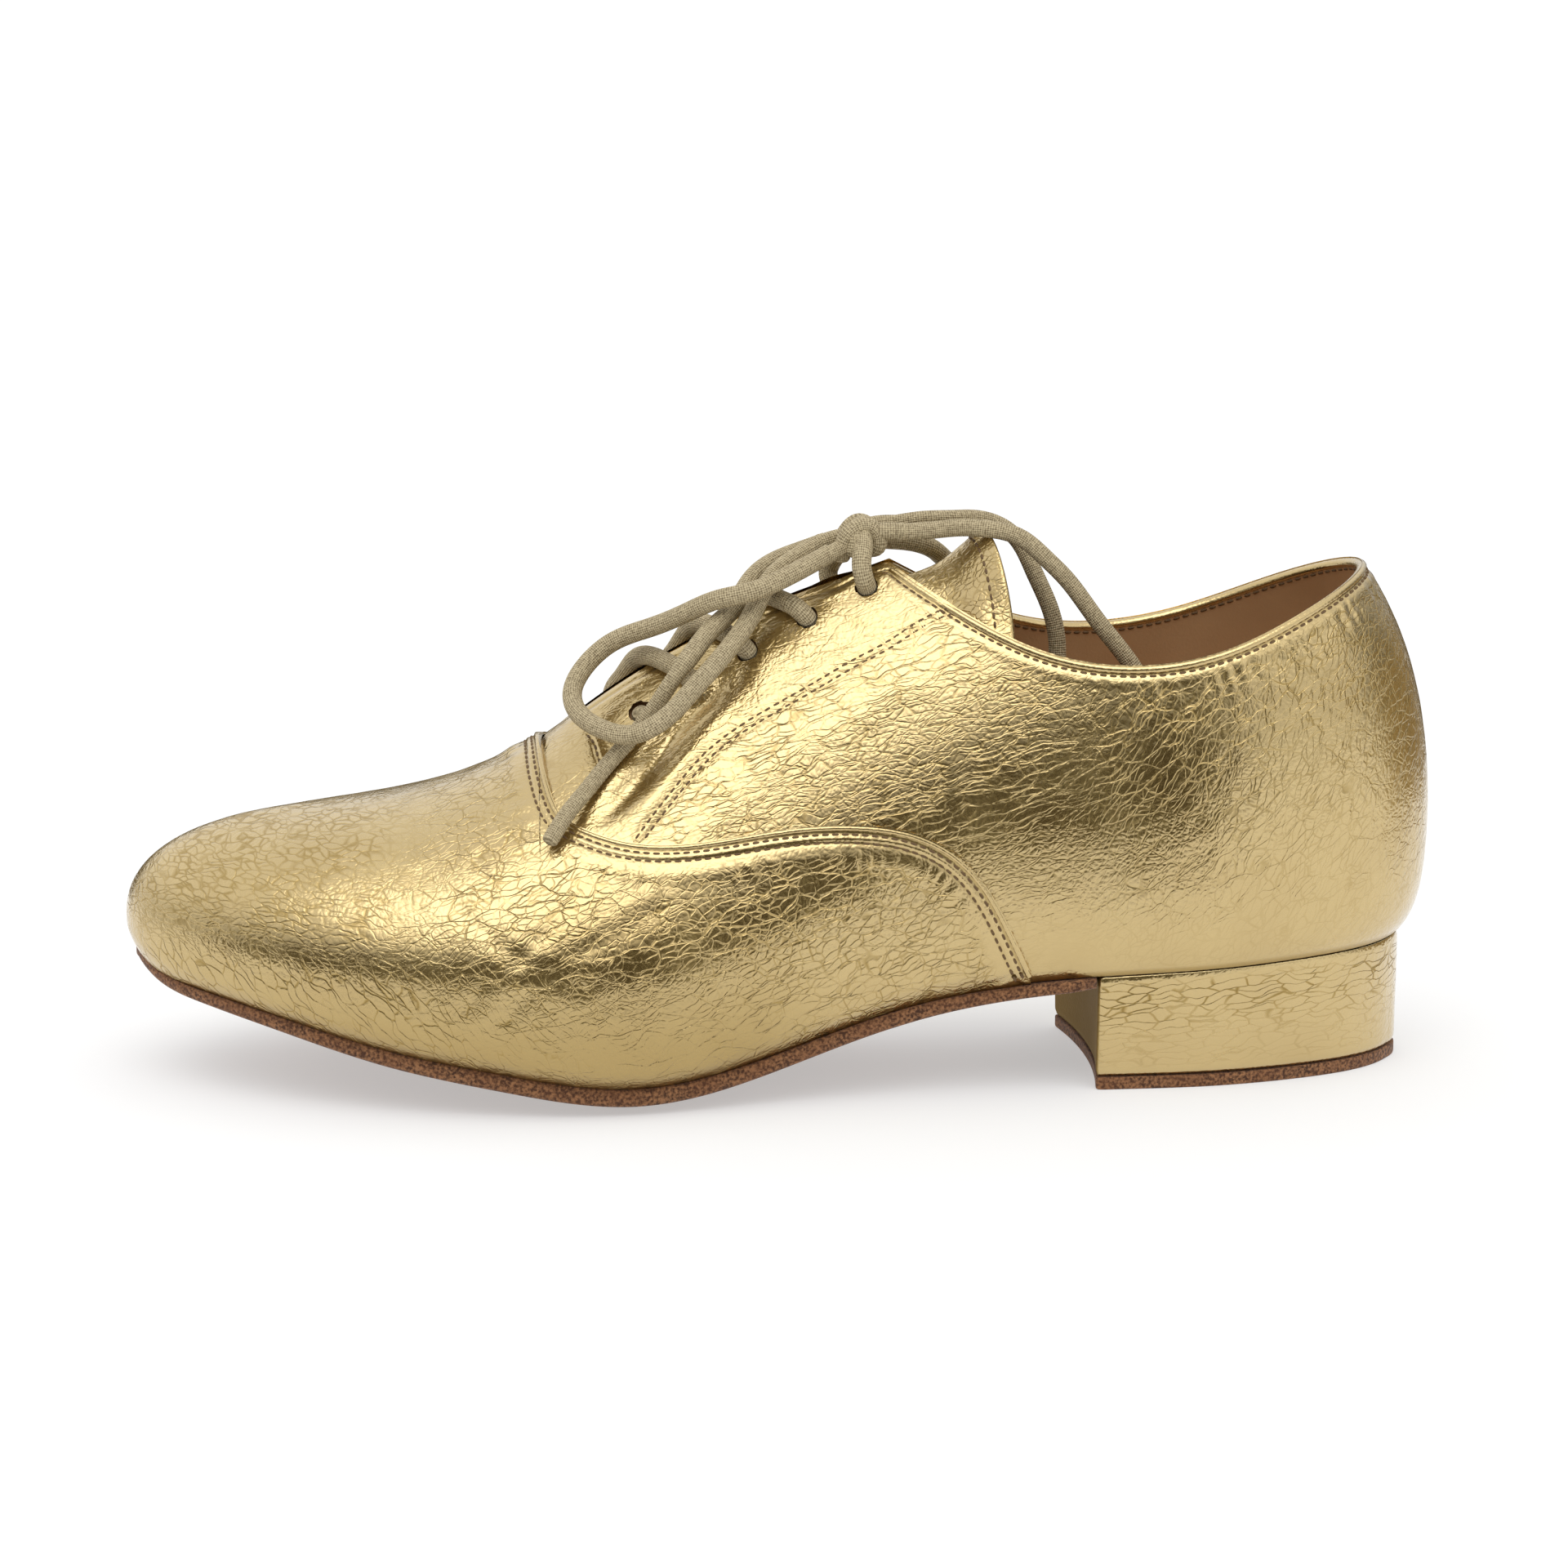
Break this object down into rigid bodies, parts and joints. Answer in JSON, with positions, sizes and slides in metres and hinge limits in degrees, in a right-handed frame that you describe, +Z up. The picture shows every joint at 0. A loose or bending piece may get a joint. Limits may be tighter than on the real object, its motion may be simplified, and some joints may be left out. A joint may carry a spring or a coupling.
{
  "type": "latin dance shoe",
  "caption": "Left latin dance shoe: low laced oxford in crinkled gold leather with an overlaid vamp, slim tongue, tied round lace, thin suede sole and a low block heel.",
  "frame": {"origin": "on the floor under the middle of the shoe's bounding box, cords left out", "axes": "toe points to -X, heel to +X, the outer side of the left foot faces -Y, +Z up"},
  "size_m": [0.2579, 0.0893, 0.111],
  "materials": {
    "gold_leather": "crinkled metallic",
    "brown_suede": "napped suede",
    "tan_lining": "smooth matte",
    "lace_cord": "waxed round weave"
  },
  "bodies": {
    "root": {"outsole": "brown_suede", "heel_block": "gold_leather", "heel_top_piece": "brown_suede", "insole": "tan_lining", "upper": "gold_leather", "vamp": "gold_leather", "tongue": "gold_leather", "lace_bar_2": "lace_cord", "lace_bar_3": "lace_cord", "lace_bar_4": "lace_cord", "lace_knot": "lace_cord", "lace_strand_near": "lace_cord", "lace_strand_far": "lace_cord", "lace_loop_front": "lace_cord", "lace_loop_back": "lace_cord", "lace_end_front": "lace_cord", "lace_end_back": "lace_cord"}
  },
  "joints": []
}
